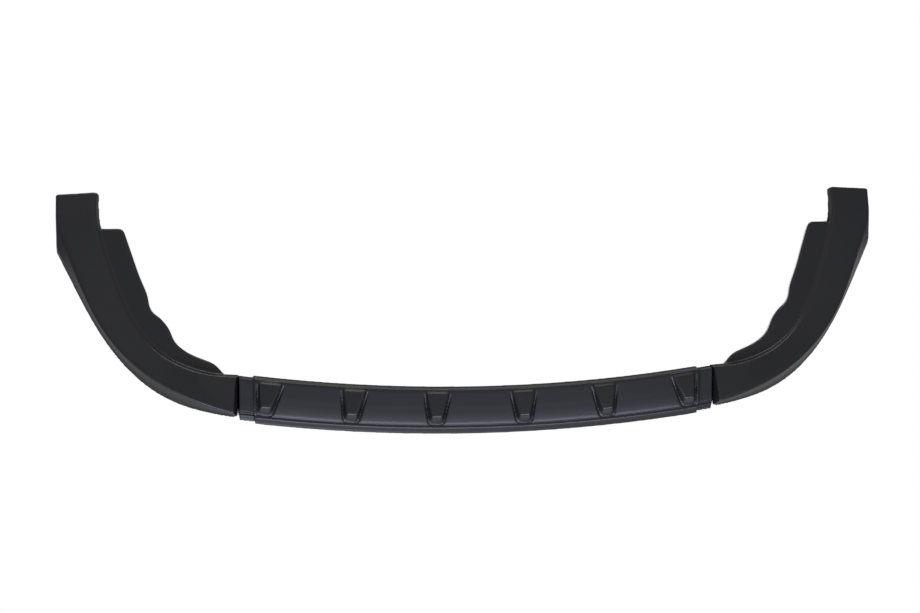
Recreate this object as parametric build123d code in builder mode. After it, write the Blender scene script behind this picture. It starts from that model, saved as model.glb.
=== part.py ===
from build123d import *
import os
from math import asin, cos, degrees, radians, sqrt, tan

# Three-piece front splitter lip, laid out as it goes together: a centre section with six raised teeth
# between two wings that wrap the corners of the bumper. All three are thin mouldings, open underneath.
# Millimetres. -Y is the front of the car, +Z is up, and the lower edges lie on z = 0.
# Left and right are as seen from in front of the car.

# Moulding
wall = 3.5
end_gap = 0.4

# Centre section, with places measured back from its front edge
front_edge_y = -263.0
centre_half_width = 477.0
centre_depth = 101.0
centre_front_radius = 3560.0
lip_height = 32.0
back_draft = 7.0
strip_width = 7.0
blade_edge_height = 3.0
blade_face_run = 7.0
blade_face_height = 9.0
blade_depth = 13.5
blade_height = 11.5
groove_place = 16.5
groove_height = 10.5
panel_foot = 18.0
nose_place = 24.0
nose_height = 17.5
blade_round = 1.5
nose_round = 6.0
strip_round = 3.0
panel_draft = 35.0
joggle = 3.9
tongue_reach = 32.0

# Teeth, with places measured back from the rear edge of the tooth's flat top
tooth_count = 6
tooth_middle_pitch = 184.0
tooth_end_margin = 34.5
tooth_fan_radius = 1950.0
tooth_place = 82.0
tooth_height = 36.0
tooth_fall = 1.0
tooth_length = 45.5
tooth_foot_length = 59.0
tooth_foot_height = 13.0
tooth_back_run = 7.5
tooth_back_width = 44.5
tooth_front_width = 21.5
tooth_draft = 22.0
tooth_round = 2.0
valley_back_width = 56.0
valley_front_width = 31.0

# Wings, drawn along their lower outer edge from the seam to the wheel arch
wing_run_in = 19.5
wing_setback = 10.0
wing_heading = 6.1
wing_lead = 37.0
corner_radius = 344.0
corner_turn = 53.4
side_radius = 1900.0
side_turn = 6.2
tail_length = 150.0
tail_crest = 22.0
tail_ridge = 15.0
seam_slant = 7.0
crease_bevel = 2.0
ridge_bevel = 2.0

# Tab behind each wing, which ends it at the wheel arch
tab_length = 122.0
tab_width = 93.0
tab_skew = 3.5
tab_fall_start = 74.0
tab_fall = 4.0
tab_outer_round = 4.0
tab_inner_round = 16.0

# Flange that seats against the bumper
flange_height = 12.0
flange_chamfer = 1.5
flange_corner_round = 14.0
flange_tuck = 20.0

# Derived values
root_height = wall
tooth_rise = tooth_height - lip_height
tooth_pitch = (centre_half_width - tooth_end_margin - tooth_middle_pitch / 2) / (tooth_count / 2 - 1)
tooth_reach = centre_front_radius - tooth_place
strip_back = centre_depth - back_draft
strip_front = strip_back - strip_width
curve_centre_y = front_edge_y + centre_front_radius
seam_x = centre_half_width + tongue_reach
sweep_angle = degrees(asin((seam_x + centre_depth) / centre_front_radius))
curve_axis = Axis((0, curve_centre_y, 0), (0, 0, 1))
profile_plane = Plane(
    (0, curve_centre_y, 0),
    x_dir=Vector(0, -1, 0).rotate(Axis.Z, -sweep_angle),
    z_dir=Vector(-1, 0, 0).rotate(Axis.Z, -sweep_angle),
)


def at(place, height):
    return (centre_front_radius - place, height)


def front_points(bottom):
    return [
        at(0, bottom),
        at(0, blade_edge_height),
        at(blade_face_run, blade_face_height),
        at(blade_depth, blade_height),
        at(groove_place, groove_height),
    ]


def back_points(bottom):
    lean = back_draft / lip_height
    return [
        at(strip_front, lip_height),
        at(strip_back, lip_height),
        at(centre_depth - lean * bottom, bottom),
    ]


# The floor of the tooth valleys, with the blade in front and the strip behind
def draw_base(bottom):
    points = front_points(bottom) + [at(panel_foot, groove_height)] + back_points(bottom)
    Polyline(*points, close=True)


# The full section, as the tongues have it
def draw_full(bottom):
    nose = [at(panel_foot, groove_height), at(nose_place, nose_height)]
    Polyline(*front_points(bottom), *nose, *back_points(bottom), close=True)


# One panel, which stands in the floor
def draw_panel(bottom):
    slope = (nose_place - panel_foot) / (nose_height - groove_height)
    Polyline(
        at(strip_front, bottom),
        at(panel_foot - slope * (groove_height - bottom), bottom),
        at(nose_place, nose_height),
        at(strip_front, lip_height),
        close=True,
    )


# Sweeps a section round the lip's front curve, between two places across the car
def swept(draw, bottom, inset, first_x, last_x, rounds=()):
    with BuildPart() as form:
        with BuildSketch(profile_plane) as section:
            with BuildLine():
                draw(bottom)
            make_face()
            if inset:
                offset(amount=-inset, kind=Kind.INTERSECTION, mode=Mode.REPLACE)
            for corner, radius in rounds:
                fillet(section.vertices().sort_by_distance(corner)[0], radius=radius)
        revolve(axis=curve_axis, revolution_arc=2 * sweep_angle)
        with BuildSketch(Plane.XY.offset(-lip_height)):
            with Locations(((first_x + last_x) / 2, front_edge_y)):
                Rectangle(last_x - first_x, 4 * centre_depth)
        extrude(amount=3 * lip_height, mode=Mode.INTERSECT)
    return form.part


def tooth_x(index):
    step = abs(index - (tooth_count - 1) / 2) - 1 / 2
    x = tooth_middle_pitch / 2 + step * tooth_pitch
    return x if index >= tooth_count / 2 else -x


# A tooth's place on the lip's front curve: x runs along the curve and y runs back
def tooth_plane(index):
    x = tooth_x(index)
    y = curve_centre_y - sqrt(tooth_reach**2 - x**2)
    return Plane((x, y, 0)).rotated((0, 0, degrees(asin(x / tooth_reach))))


# How far a tooth leans outwards for each millimetre towards the front
def tooth_lean(index):
    x = tooth_x(index)
    return tan(asin(x / tooth_fan_radius) - asin(x / tooth_reach))


# Half the width of a tooth at a place along it and a height
def tooth_half(place, height, inset):
    taper = (tooth_back_width - tooth_front_width) / (2 * tooth_length)
    draft = tan(radians(tooth_draft)) * (tooth_height - height)
    return tooth_back_width / 2 + taper * place + draft - inset / cos(radians(tooth_draft))


# The plane of one flank, facing away from the tooth
def tooth_flank(index, side, inset):
    plane = tooth_plane(index)
    lean = tooth_lean(index)
    back, front, foot = [
        plane.from_local_coords((side * tooth_half(place, height, inset) - lean * place, place, height))
        for place, height in ((0, tooth_height), (-tooth_length, tooth_height), (0, 0))
    ]
    return Plane(back, x_dir=front - back, z_dir=(front - back).cross(foot - back) * side)


# A tapered, drafted tooth with a level top and a steep front
def tooth(index, inset):
    plane = tooth_plane(index)
    side_plane = Plane(plane.origin, x_dir=plane.y_dir, z_dir=plane.x_dir)
    sink = tooth_rise / 2
    back_foot = tooth_back_run * (tooth_rise + sink) / tooth_rise
    with BuildPart() as form:
        with BuildSketch(side_plane):
            with BuildLine():
                Polyline(
                    (back_foot, root_height),
                    (back_foot, lip_height - sink),
                    (0, tooth_height),
                    (-tooth_length, tooth_height - tooth_fall),
                    (-tooth_foot_length, tooth_foot_height),
                    (-tooth_foot_length, root_height),
                    close=True,
                )
            make_face()
            if inset:
                offset(amount=-inset, kind=Kind.INTERSECTION, mode=Mode.REPLACE)
        extrude(amount=2 * tooth_back_width, both=True)
        for side in (-1, 1):
            split(bisect_by=tooth_flank(index, side, inset), keep=Keep.BOTTOM)
        if not inset:
            top = form.faces().sort_by(Axis.Z)[-1]
            fillet(top.edges(), radius=tooth_round)
    return form.part


# The edge of the valley beside a tooth, front point first
def valley_edge(index, side):
    plane = tooth_plane(index)
    lean = tooth_lean(index)
    taper = (valley_back_width - valley_front_width) / (2 * tooth_foot_length)
    places = (panel_foot - tooth_place, strip_front - tooth_place)
    return [
        plane.from_local_coords((side * (valley_back_width / 2 + taper * place) - lean * place, place))
        for place in places
    ]


# The plane of a panel's flank, which rises from the floor at a valley's edge and faces the valley
def panel_flank(index, side, inset):
    front, back = valley_edge(index, side)
    front.Z = groove_height
    back.Z = lip_height
    along = back - front
    inward = Vector(along.Y, -along.X).normalized() * side
    upward = Vector(0, 0, 1) + inward * tan(radians(panel_draft))
    return Plane(front, x_dir=along, z_dir=upward.cross(along) * side).offset(-inset)


# The panel after a tooth, up to the next one; an end panel runs out to the end of the section
def panel(index, inset):
    rounds = [] if inset else [(at(nose_place, nose_height), nose_round)]
    with BuildPart() as form:
        add(swept(draw_panel, root_height, inset, -centre_half_width, centre_half_width, rounds))
        if index >= 0:
            split(bisect_by=panel_flank(index, 1, inset), keep=Keep.BOTTOM)
        if index < tooth_count - 1:
            split(bisect_by=panel_flank(index + 1, -1, inset), keep=Keep.BOTTOM)
    return form.part


# The whole form between the tongues: floor, panels and teeth, or the hollow inside them
def centre_form(inset):
    bottom = -2 * inset
    half_width = centre_half_width - inset
    rounds = [] if inset else base_rounds
    panels = range(tooth_count - 1) if inset else range(-1, tooth_count)
    with BuildPart() as form:
        add(swept(draw_base, bottom, inset, -half_width, half_width, rounds))
        for index in panels:
            add(panel(index, inset))
        for index in range(tooth_count):
            add(tooth(index, inset))
        with BuildSketch(Plane.XY.offset(-lip_height)):
            with Locations((0, front_edge_y)):
                Rectangle(2 * half_width, 4 * centre_depth)
        extrude(amount=3 * lip_height, mode=Mode.INTERSECT)
    return form.part


# A wing's place along its path, facing along it: x runs inwards and y runs up
def wing_plane(distance):
    path = wing_path.wire()
    heading = path.tangent_at(distance, position_mode=PositionMode.LENGTH)
    point = path.position_at(distance, position_mode=PositionMode.LENGTH)
    return Plane(point, x_dir=heading.rotate(Axis.Z, 90), z_dir=heading)


# The hump of a wing, lofted through its sections, or the hollow inside it
def wing_hump(inset):
    drop = 2 * inset
    with BuildPart() as form:
        for distance, foot, foot_height, flare, crest, ridge, ridge_height, draft in wing_sections:
            with BuildSketch(wing_plane(distance)) as section:
                with BuildLine():
                    Polyline(
                        (-foot * drop / foot_height, -drop),
                        (foot, foot_height),
                        (flare, crest),
                        (ridge, ridge_height),
                        (ridge + draft * (1 + drop / ridge_height), -drop),
                        close=True,
                    )
                make_face()
                if inset:
                    offset(amount=-inset, kind=Kind.INTERSECTION, mode=Mode.REPLACE)
                else:
                    chamfer(section.vertices().sort_by_distance((flare, crest))[0], length=crease_bevel)
                    chamfer(section.vertices().sort_by_distance((ridge, ridge_height))[0], length=ridge_bevel)
        loft()
    return form.part


# The ground plan that ends a wing: straight up the side of the car, and across behind the tab
def tab_plan(inset):
    outer_x = wing_corner.X
    inner_x = outer_x - tab_width
    outer_y = wing_corner.Y + tab_length
    inner_y = outer_y + tab_width * tan(radians(tab_skew))
    with BuildSketch() as plan:
        with BuildLine():
            Polyline(
                (0, 2 * front_edge_y),
                (outer_x, 2 * front_edge_y),
                (outer_x, outer_y),
                (inner_x, inner_y),
                (inner_x, flange_end.Y),
                (0, flange_end.Y),
                close=True,
            )
        make_face()
        if inset:
            offset(amount=-inset, kind=Kind.INTERSECTION, mode=Mode.REPLACE)
        else:
            fillet(plan.vertices().sort_by_distance((outer_x, outer_y))[0], radius=tab_outer_round)
        fillet(plan.vertices().sort_by_distance((inner_x, inner_y))[0], radius=tab_inner_round - inset)
    return plan.sketch


# The plane of the facet that drops the tab towards the wheel arch
def tab_facet():
    outer = Vector(wing_corner.X, wing_corner.Y + tab_fall_start, tail_crest)
    across = Vector(tab_width, 0, tail_crest - tail_ridge)
    backward = Vector(0, tab_length - tab_fall_start, -tab_fall)
    return Plane(outer, x_dir=across, z_dir=across.cross(backward))


def wing_form(inset):
    with BuildPart() as form:
        add(wing_hump(inset))
        extrude(tab_plan(inset), amount=2 * lip_height, both=True, mode=Mode.INTERSECT)
        split(bisect_by=tab_facet().offset(-inset), keep=Keep.BOTTOM)
    return form.part


# The plan of the flange, whose outer side is tucked under the hump
def flange_plan():
    edge = [wing_plane(distance).from_local_coords((inward, 0)) for distance, inward in flange_edge]
    tuck = [
        wing_plane(distance).from_local_coords((ridge - flange_tuck, 0))
        for distance, foot, foot_height, flare, crest, ridge, ridge_height, draft in wing_sections[2:7]
    ]
    with BuildSketch() as plan:
        with BuildLine():
            inner = Spline(*edge)
            Polyline(inner @ 1, (tuck[-1].X, flange_end.Y), *reversed(tuck), inner @ 0)
        make_face()
        fillet(plan.vertices().sort_by_distance(inner @ 1)[0], radius=flange_corner_round)
    return plan.sketch


# Everything below the flange's top, or everything under the flange
def flange_block(inset):
    with BuildPart() as form:
        with BuildSketch(Plane.XY.offset(-inset)):
            add(flange_plan())
        extrude(amount=flange_height)
        if not inset:
            edges = form.faces().sort_by(Axis.Z)[-1].edges()
            chamfer(edges.filter_by(GeomType.LINE, reverse=True), length=flange_chamfer)
    return form.part


base_rounds = [
    (at(0, blade_edge_height), blade_round),
    (at(blade_face_run, blade_face_height), blade_round),
    (at(blade_depth, blade_height), blade_round),
    (at(strip_back, lip_height), strip_round),
]

with BuildPart() as centre_section:
    add(centre_form(0))
    tongue = swept(draw_full, -joggle, joggle, centre_half_width - wall, seam_x - end_gap)
    add(tongue)
    add(mirror(tongue, about=Plane.YZ, mode=Mode.PRIVATE))
    add(centre_form(wall), mode=Mode.SUBTRACT)
    hollow = swept(
        draw_full, -2 * (joggle + wall), joggle + wall, centre_half_width - wall - end_gap, seam_x
    )
    add(hollow, mode=Mode.SUBTRACT)
    add(mirror(hollow, about=Plane.YZ, mode=Mode.PRIVATE), mode=Mode.SUBTRACT)

wing_start_x = seam_x - wing_run_in
wing_start_y = curve_centre_y - sqrt(centre_front_radius**2 - wing_start_x**2) + wing_setback
with BuildLine() as wing_path:
    lead_line = PolarLine((wing_start_x, wing_start_y), wing_lead, wing_heading)
    corner_arc = JernArc(lead_line @ 1, lead_line % 1, corner_radius, corner_turn)
    side_arc = JernArc(corner_arc @ 1, corner_arc % 1, side_radius, side_turn)
    PolarLine(side_arc @ 1, tail_length, direction=side_arc % 1)

wing_corner = side_arc @ 1
corner_end = wing_lead + corner_arc.length
side_end = corner_end + side_arc.length

# Along the path: place and height of the top of the foot, of the crease and of the ridge, and the draft behind
wing_sections = [
    (0, 4.0, 9.0, 8.0, 28.0, 83.0, 32.0, 7.0),
    (wing_lead, 4.0, 9.0, 8.0, 28.5, 82.5, 32.0, 7.0),
    (wing_lead + corner_arc.length / 3, 8.0, 10.0, 19.0, 30.5, 76.0, 27.0, 6.0),
    (wing_lead + corner_arc.length * 2 / 3, 8.0, 10.0, 18.0, 28.5, 70.0, 19.5, 5.0),
    (corner_end, 5.0, 9.0, 11.0, 26.0, 71.0, 15.0, 5.0),
    (corner_end + side_arc.length / 2, 5.0, 8.0, 13.0, 24.0, 82.0, 14.0, 5.0),
    (side_end, 5.0, 8.0, 23.0, tail_crest, 97.0, tail_ridge, 5.0),
    (side_end + tail_length / 2, 5.0, 8.0, 33.0, tail_crest, 125.0, tail_ridge, 5.0),
    (side_end + tail_length, 5.0, 8.0, 42.0, tail_crest, 155.0, tail_ridge, 5.0),
]
# Edge of the flange, by distance along the path and inwards from it
flange_edge = [
    (60.0, 84.0), (75.0, 92.0), (95.0, 101.5), (134.0, 105.5), (180.0, 104.5), (215.0, 105.5),
    (238.0, 108.5), (256.0, 114.0), (275.0, 119.5), (300.0, 122.0), (327.0, 120.5), (353.0, 115.5),
    (370.0, 117.0), (384.0, 122.0), (425.0, 128.5), (482.0, 136.5), (551.0, 145.5),
]
end_distance, end_inward = flange_edge[-1]
flange_end = wing_plane(end_distance).from_local_coords((end_inward, 0))

tongue_back_y = curve_centre_y - sqrt((centre_front_radius - centre_depth + joggle) ** 2 - seam_x**2)
seam_plane = Plane((seam_x, tongue_back_y, 0), z_dir=Vector(1, 0, 0).rotate(Axis.Z, seam_slant))

with BuildPart() as right_wing:
    add(wing_form(0))
    add(flange_block(0))
    add(wing_form(wall), mode=Mode.SUBTRACT)
    add(flange_block(wall), mode=Mode.SUBTRACT)
    split(bisect_by=seam_plane, keep=Keep.TOP)

with BuildPart() as left_wing:
    mirror(right_wing.part, about=Plane.YZ)

os.makedirs("parts", exist_ok=True)
left_wing.part.label = "left_wing"
export_step(left_wing.part, "parts/left_wing.step")
centre_section.part.label = "centre_section"
export_step(centre_section.part, "parts/centre_section.step")
right_wing.part.label = "right_wing"
export_step(right_wing.part, "parts/right_wing.step")
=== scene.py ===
import bmesh
import bpy
from math import asin, cos, hypot, sin, sqrt, tan
from mathutils import Matrix, Vector


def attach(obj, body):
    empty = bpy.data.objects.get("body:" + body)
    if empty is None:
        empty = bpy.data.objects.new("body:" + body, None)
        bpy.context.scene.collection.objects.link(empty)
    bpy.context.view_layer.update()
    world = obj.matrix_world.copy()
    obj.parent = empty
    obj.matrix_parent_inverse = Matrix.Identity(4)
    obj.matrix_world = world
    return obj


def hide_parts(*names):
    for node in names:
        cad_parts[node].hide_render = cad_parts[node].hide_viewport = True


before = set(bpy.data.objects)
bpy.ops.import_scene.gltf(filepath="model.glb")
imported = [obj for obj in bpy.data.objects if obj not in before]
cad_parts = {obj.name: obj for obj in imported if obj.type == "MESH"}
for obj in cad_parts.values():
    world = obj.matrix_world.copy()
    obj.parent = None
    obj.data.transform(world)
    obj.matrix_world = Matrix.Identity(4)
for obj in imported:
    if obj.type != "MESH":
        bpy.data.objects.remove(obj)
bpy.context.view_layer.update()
scene = bpy.context.scene
scene.view_settings.view_transform = "Standard"
print("frame loaded:", ", ".join(sorted(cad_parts)))

mmPerMetre = 1000  # lengths are in metres, apart from those whose names end in Mm


# sRGB hex text to the linear colour that a shader takes
def linearColour(hexText):
    channels = [int(hexText[place:place + 2], 16) / 255 for place in (0, 2, 4)]
    return [c / 12.92 if c <= 0.04045 else ((c + 0.055) / 1.055) ** 2.4 for c in channels] + [1.0]


# Adds a node with its settings, and with a value or a link for each input
def addNode(tree, kind, inputs=None, **settings):
    node = tree.nodes.new(kind)
    for name, value in settings.items():
        setattr(node, name, value)
    for socket, value in (inputs or {}).items():
        if isinstance(value, bpy.types.NodeSocket):
            tree.links.new(value, node.inputs[socket])
        else:
            node.inputs[socket].default_value = value
    return node


def newMaterial(name):
    material = bpy.data.materials.new(name)
    material.use_nodes = True
    material.node_tree.nodes.clear()
    return material, material.node_tree


# Black ABS, injection moulded in a spark-eroded tool: a soft sheen broken by a fine even grain
mouldedAbs = {
    "colour": "1c1c1d",
    "roughness": 0.33,
    "ior": 1.54,
    "sheen": 0.3,  # the grain breaks up part of the reflection
    "grainMm": 1.1,  # the real grain is near 0.2 mm, too fine to show, so it is drawn coarser
    "grainDepthMm": 0.006,
    "grainDetail": 2.0,
    "grainStrength": 0.5,
}


def makeMouldedAbs():
    material, tree = newMaterial("mouldedBlackAbs")
    place = addNode(tree, "ShaderNodeTexCoord").outputs["Object"]
    grain = addNode(tree, "ShaderNodeTexNoise", {
        "Vector": place,
        "Scale": mmPerMetre / mouldedAbs["grainMm"],
        "Detail": mouldedAbs["grainDetail"],
    })
    bump = addNode(tree, "ShaderNodeBump", {
        "Height": grain.outputs["Fac"],
        "Distance": mouldedAbs["grainDepthMm"] / mmPerMetre,
        "Strength": mouldedAbs["grainStrength"],
    })
    shader = addNode(tree, "ShaderNodeBsdfPrincipled", {
        "Base Color": linearColour(mouldedAbs["colour"]),
        "Roughness": mouldedAbs["roughness"],
        "IOR": mouldedAbs["ior"],
        "Specular IOR Level": mouldedAbs["sheen"],
        "Normal": bump.outputs["Normal"],
    })
    addNode(tree, "ShaderNodeOutputMaterial", {"Surface": shader.outputs["BSDF"]})
    return material


# Moulded corners are soft: each piece is its solid built again from small even cells and smoothed,
# a little all over, and more above the height of its rims. The centre keeps a share of its faces.
softening = {
    "left_wing": {"cellMm": 1.5, "passes": 1, "rimMm": 10.5, "topPasses": 24},
    "centre_section": {"cellMm": 1.6, "passes": 1, "rimMm": 11.0, "topPasses": 12, "keptShare": 0.65},
    "right_wing": {"cellMm": 1.5, "passes": 1, "rimMm": 10.5, "topPasses": 24},
}
smoothFactor = 0.5


# The piece's mesh with its modifiers put in
def applyModifiers(piece):
    shaped = piece.evaluated_get(bpy.context.evaluated_depsgraph_get())
    mesh = bpy.data.meshes.new_from_object(shaped)
    piece.modifiers.clear()
    piece.data = mesh


def addSmooth(piece, passes, group=""):
    smooth = piece.modifiers.new("smooth", "SMOOTH")
    smooth.factor = smoothFactor
    smooth.iterations = passes
    smooth.vertex_group = group


def softCopy(nodeName, node):
    settings = softening[nodeName]
    piece = bpy.data.objects.new("soft_" + nodeName, node.data.copy())
    scene.collection.objects.link(piece)
    cells = piece.modifiers.new("cells", "REMESH")
    cells.mode = "VOXEL"
    cells.voxel_size = settings["cellMm"] / mmPerMetre
    applyModifiers(piece)
    rimHeight = settings["rimMm"] / mmPerMetre
    aboveRims = [vertex.index for vertex in piece.data.vertices if vertex.co.z > rimHeight]
    tops = piece.vertex_groups.new(name="tops")
    tops.add(aboveRims, 1.0, "REPLACE")
    addSmooth(piece, settings["passes"])
    addSmooth(piece, settings["topPasses"], tops.name)
    applyModifiers(piece)
    piece.vertex_groups.clear()
    piece.data.shade_smooth()
    return piece


# Drops the faces that a flat stretch can do without
def thinOut(piece, share):
    thin = piece.modifiers.new("thin", "DECIMATE")
    thin.ratio = share
    applyModifiers(piece)


# The centre section's front edge is an arc, and a place on the section is its distance behind that arc
frontArc = {"radius": 3.56, "centreY": 3.297}


def placeBehindFront(x, y):
    return frontArc["radius"] - hypot(x, y - frontArc["centreY"])


def limited(share):
    return min(max(share, 0), 1)


# A share from 0 to 1, made gentle at both ends
def eased(share):
    return share * share * (3 - 2 * share)


# Value at a place on the straight line between two (place, value) points
def lineValue(first, last, place):
    return first[1] + (last[1] - first[1]) * (place - first[0]) / (last[0] - first[0])


# Lines on the solid, each as a place and a height, and how far back and down the panels roll to their nose
panels = {
    "nose": (0.024, 0.0175),
    "groove": (0.018, 0.0105),
    "strip": (0.087, 0.032),
    "reach": 0.038,
    "drop": 0.003,
}


# Lowers the front of the panels, and leaves the valley floors beside the teeth as they are
def crownPanels(mesh):
    nosePlace = panels["nose"][0]
    for vertex in mesh.vertices:
        x, y, z = vertex.co
        place = placeBehindFront(x, y)
        if not panels["groove"][0] < place < nosePlace + panels["reach"]:
            continue
        valley = lineValue(panels["groove"], panels["strip"], place)
        panel = lineValue(panels["nose"], panels["strip"], place)
        share = limited((z - valley) / (panel - valley))
        roll = 1 - max(place - nosePlace, 0) / panels["reach"]
        vertex.co.z = z - panels["drop"] * share * roll ** 2


# Each line of the blade and the nose: its place in the solid, its place in the photo, and a share of
# its height. The tongues start this far from the middle, with their front edge set back.
frontLines = {
    "placesMm": [
        (0, 0, 0.35), (7, 10.5, 1.2), (13.5, 14.3, 1.08),
        (16.5, 16.5, 1.12), (18, 17.6, 1.12), (24, 20.8, 1), (50, 50, 1),
    ],
    "tongueStart": 0.4775,
    "tongueSetbackMm": 3.9,
}


# Moves the lines along the blade and the nose to the places that the photo gives them
def shiftFront(mesh):
    centreY = frontArc["centreY"]
    lines = frontLines["placesMm"]
    for vertex in mesh.vertices:
        x, y, z = vertex.co
        setback = frontLines["tongueSetbackMm"] if abs(x) > frontLines["tongueStart"] else 0
        place = placeBehindFront(x, y) * mmPerMetre - setback
        for first, last in zip(lines, lines[1:]):
            if first[0] < place <= last[0]:
                newPlace = (lineValue(first, last, place) + setback) / mmPerMetre
                scale = (frontArc["radius"] - newPlace) / hypot(x, y - centreY)
                lift = lineValue((first[0], first[2]), (last[0], last[2]), place)
                vertex.co = (x * scale, centreY + (y - centreY) * scale, z * lift)


# The teeth stand on an arc and fan out towards the front, where they draw in by a share of their width.
# A valley runs down each side of a tooth, from the edge of its top to where the panel rolls down to it.
teeth = {
    "across": (0.092, 0.26725, 0.4425),  # from the middle, on both sides
    "arcRadius": 3.478,
    "fanRadius": 1.95,
    "back": 0.082,  # place of a tooth's back edge
    "topHalf": 0.02225,  # half the width of its top, at the back edge
    "topTaper": 0.2527,  # and what that loses for each metre forward
    "drawnFrom": 0.062,  # the tooth draws in more and more from this place
    "drawnTo": 0.022,  # to this one, by the share below
    "drawn": 0.16,
    "drawnHalf": 0.013,  # up to here beside the tooth's line all of it draws in
    "drawnFade": 0.007,
    "valleyHalf": 0.028,  # from the tooth's line to the panel's edge, at the back edge
    "valleyTaper": 0.212,
    "valleyDepth": 0.004,  # added to the depth that the solid has
    "roll": 0.004,  # width of the panel edge that rolls down
    "rearFade": 0.04,  # the added depth grows over this length from the strip
    "frontFade": 0.008,  # and over this one from the groove
}


# Each tooth of the right half: where its line crosses the teeth's arc, and how far that line leans out
def toothLines():
    lines = []
    for toothX in teeth["across"]:
        toothY = frontArc["centreY"] - sqrt(teeth["arcRadius"] ** 2 - toothX ** 2)
        lines.append((toothX, toothY, tan(asin(toothX / teeth["fanRadius"]))))
    return lines


# Draws the front of each tooth in and deepens the valleys beside it
def drawTeeth(mesh):
    lines = toothLines()
    drawnReach = teeth["drawnFrom"] - teeth["drawnTo"]
    drawnEdge = teeth["drawnHalf"] + teeth["drawnFade"]
    for vertex in mesh.vertices:
        x, y = vertex.co.xy
        place = placeBehindFront(x, y)
        drawn = teeth["drawn"] * limited((teeth["drawnFrom"] - place) / drawnReach)
        topHalf = teeth["topHalf"] + teeth["topTaper"] * (place - teeth["back"])
        valleyHalf = teeth["valleyHalf"] + teeth["valleyTaper"] * (place - teeth["back"])
        along = limited((panels["strip"][0] - place) / teeth["rearFade"])
        along *= limited((place - panels["groove"][0]) / teeth["frontFade"])
        side = 1 if x > 0 else -1
        for toothX, toothY, lean in lines:
            aside = x - side * (toothX + (toothY - y) * lean)
            flank = limited((abs(aside) - topHalf) / (valleyHalf - topHalf))
            roll = limited((valleyHalf + teeth["roll"] - abs(aside)) / teeth["roll"])
            hold = limited((drawnEdge - abs(aside)) / teeth["drawnFade"])
            vertex.co.z -= teeth["valleyDepth"] * along * flank * eased(roll)
            vertex.co.x -= aside * drawn * hold


# The right wing's seam wall: its front and back edges on the wing's end, and its foot by the tongue
seamWall = {
    "frontMm": [(520.6, -207.6, 27.2), (520.8, -211.4, 9.0), (521.2, -215.0, 0.4)],
    "backMm": [(510.6, -134.0, 30.6), (510.6, -130.0, 0.4)],
    "footMm": [(509.6, -130.0, 0.4), (513.0, -213.5, 0.4)],
}


# The leaning wall that closes a wing's end at the seam
def makeSeamWall(name, side):
    mesh = bpy.data.meshes.new(name)
    shape = bmesh.new()
    for x, y, z in seamWall["frontMm"] + seamWall["backMm"] + seamWall["footMm"]:
        shape.verts.new((side * x / mmPerMetre, y / mmPerMetre, z / mmPerMetre))
    bmesh.ops.convex_hull(shape, input=shape.verts)
    bmesh.ops.recalc_face_normals(shape, faces=shape.faces)
    shape.to_mesh(mesh)
    shape.free()
    wallPiece = bpy.data.objects.new(name, mesh)
    scene.collection.objects.link(wallPiece)
    mesh.materials.append(blackAbs)
    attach(wallPiece, "root")


blackAbs = makeMouldedAbs()
for nodeName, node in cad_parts.items():
    piece = softCopy(nodeName, node)
    piece.data.materials.clear()
    piece.data.materials.append(blackAbs)
    if nodeName == "centre_section":
        drawTeeth(piece.data)
        crownPanels(piece.data)
        shiftFront(piece.data)
        thinOut(piece, softening[nodeName]["keptShare"])
    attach(piece, "root")
    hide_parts(nodeName)
    print(piece.name, "has", len(piece.data.polygons), "faces")
makeSeamWall("leftSeamWall", -1)
makeSeamWall("rightSeamWall", 1)
print("pieces finished")

# White paper under the lip, and a grey room around it
studio = {
    "floorSize": 80.0,
    "floorColour": "ffffff",
    "seamReach": 0.06,  # how far round a point of the floor the lip's walls shade it
    "seamSamples": 16,
    "seamOpen": (0.38, 0.52),  # from fully dark to fully white, as the camera sees the floor
    "mirroredOpen": (0.62, 1.0),  # and with its shadow at full depth, as the lip mirrors the floor
    "worldColour": "bcbcbe",
    "worldStrength": 0.75,
}


def makeFloor():
    half = studio["floorSize"] / 2
    mesh = bpy.data.meshes.new("studioFloor")
    corners = [(-half, -half, 0), (half, -half, 0), (half, half, 0), (-half, half, 0)]
    mesh.from_pydata(corners, [], [(0, 1, 2, 3)])
    floor = bpy.data.objects.new("studioFloor", mesh)
    scene.collection.objects.link(floor)
    material, tree = newMaterial("whiteSweep")
    paper = addNode(tree, "ShaderNodeBsdfDiffuse", {"Color": linearColour(studio["floorColour"])})
    openness = addNode(tree, "ShaderNodeAmbientOcclusion", {
        "Distance": studio["seamReach"],
    }, samples=studio["seamSamples"])
    rays = addNode(tree, "ShaderNodeLightPath")
    shades = [
        addNode(tree, "ShaderNodeMapRange", {
            "Value": openness.outputs["AO"],
            "From Min": darkBelow,
            "From Max": whiteAbove,
        })
        for darkBelow, whiteAbove in (studio["mirroredOpen"], studio["seamOpen"])
    ]
    shade = addNode(tree, "ShaderNodeMix", {
        "Factor": rays.outputs["Is Camera Ray"],
        "A": shades[0].outputs["Result"],
        "B": shades[1].outputs["Result"],
    })
    glow = addNode(tree, "ShaderNodeEmission", {"Strength": shade.outputs["Result"]})
    mirrored = addNode(tree, "ShaderNodeMath", {
        0: rays.outputs["Is Glossy Ray"],
        1: rays.outputs["Is Transmission Ray"],
    }, operation="ADD")
    seen = addNode(tree, "ShaderNodeMath", {
        0: rays.outputs["Is Camera Ray"],
        1: mirrored.outputs[0],
    }, operation="ADD", use_clamp=True)
    mixed = addNode(tree, "ShaderNodeMixShader", {
        "Fac": seen.outputs[0],
        1: paper.outputs[0],
        2: glow.outputs[0],
    })
    addNode(tree, "ShaderNodeOutputMaterial", {"Surface": mixed.outputs[0]})
    mesh.materials.append(material)


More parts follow.
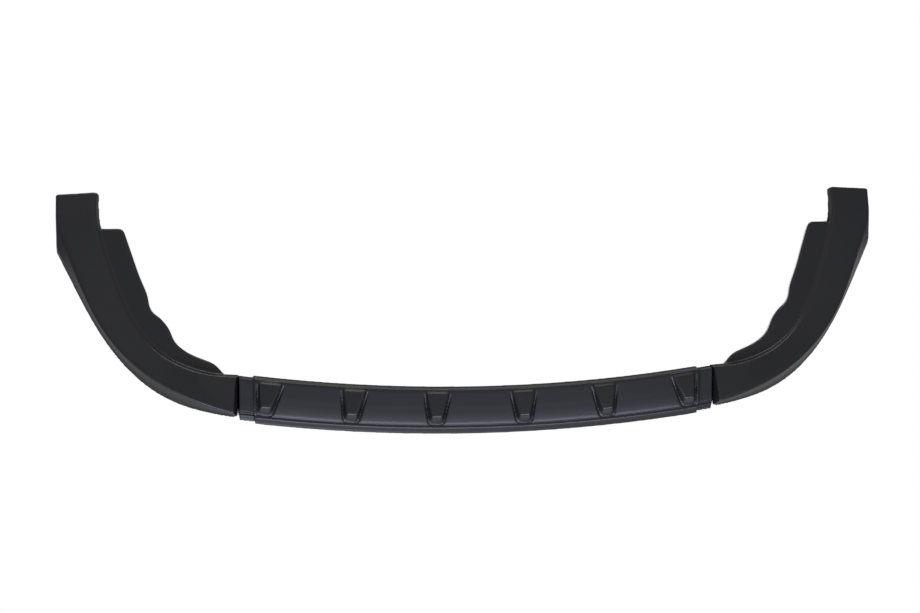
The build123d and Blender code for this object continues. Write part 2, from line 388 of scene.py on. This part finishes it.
def makeWorld():
    world = bpy.data.worlds.new("studioWorld")
    world.use_nodes = True
    scene.world = world
    shade = world.node_tree.nodes["Background"]
    shade.inputs["Color"].default_value = linearColour(studio["worldColour"])
    shade.inputs["Strength"].default_value = studio["worldStrength"]


# Soft boxes: place, size across and up, power in watts, and colour; each faces the lip
softBoxes = {
    "frontLow": {"place": (-1.2, -3.3, 0.9), "size": (3.0, 0.8), "power": 34, "colour": "dfe4ff"},
    "frontHigh": {"place": (0.0, -3.0, 2.2), "size": (4.0, 1.0), "power": 155, "colour": "dde2ff"},
    "overhead": {"place": (0.6, 0.3, 4.4), "size": (5.0, 1.0), "power": 7, "colour": "ffffff"},
    "backBox": {"place": (0.0, 3.3, 1.8), "size": (1.8, 0.8), "power": 48, "colour": "ffffff"},
}


def makeSoftBox(name, settings):
    lamp = bpy.data.lights.new(name, "AREA")
    lamp.shape = "RECTANGLE"
    lamp.size, lamp.size_y = settings["size"]
    lamp.energy = settings["power"]
    lamp.color = linearColour(settings["colour"])[:3]
    box = bpy.data.objects.new(name, lamp)
    box.location = settings["place"]
    box.rotation_euler = (-Vector(settings["place"])).to_track_quat("-Z", "Y").to_euler()
    scene.collection.objects.link(box)


makeFloor()
makeWorld()
for boxName, boxSettings in softBoxes.items():
    makeSoftBox(boxName, boxSettings)
print("studio lit by", len(softBoxes), "soft boxes")

# Camera, nearly overhead, with its leans and roll in radians
cameraView = {
    "filmMm": 36,
    "lensMm": 62.61,
    "place": (-0.4526, -0.2879, 3.3967),
    "leanAcross": -0.1222,
    "leanForward": 0.0873,
    "roll": -0.0167,
    "farthest": 50,
}


def makeCamera():
    back = Vector((tan(cameraView["leanAcross"]), -tan(cameraView["leanForward"]), 1)).normalized()
    across = Vector((1, 0, 0))
    across = (across - across.dot(back) * back).normalized()
    upward = back.cross(across)
    turn = cameraView["roll"]
    right = cos(turn) * across + sin(turn) * upward
    top = cos(turn) * upward - sin(turn) * across
    data = bpy.data.cameras.new("photoCamera")
    data.sensor_width = cameraView["filmMm"]
    data.lens = cameraView["lensMm"]
    data.clip_end = cameraView["farthest"]
    camera = bpy.data.objects.new("photoCamera", data)
    turned = Matrix((right, top, back)).transposed().to_4x4()
    camera.matrix_world = Matrix.Translation(cameraView["place"]) @ turned
    scene.collection.objects.link(camera)
    scene.camera = camera


makeCamera()
print("camera set")
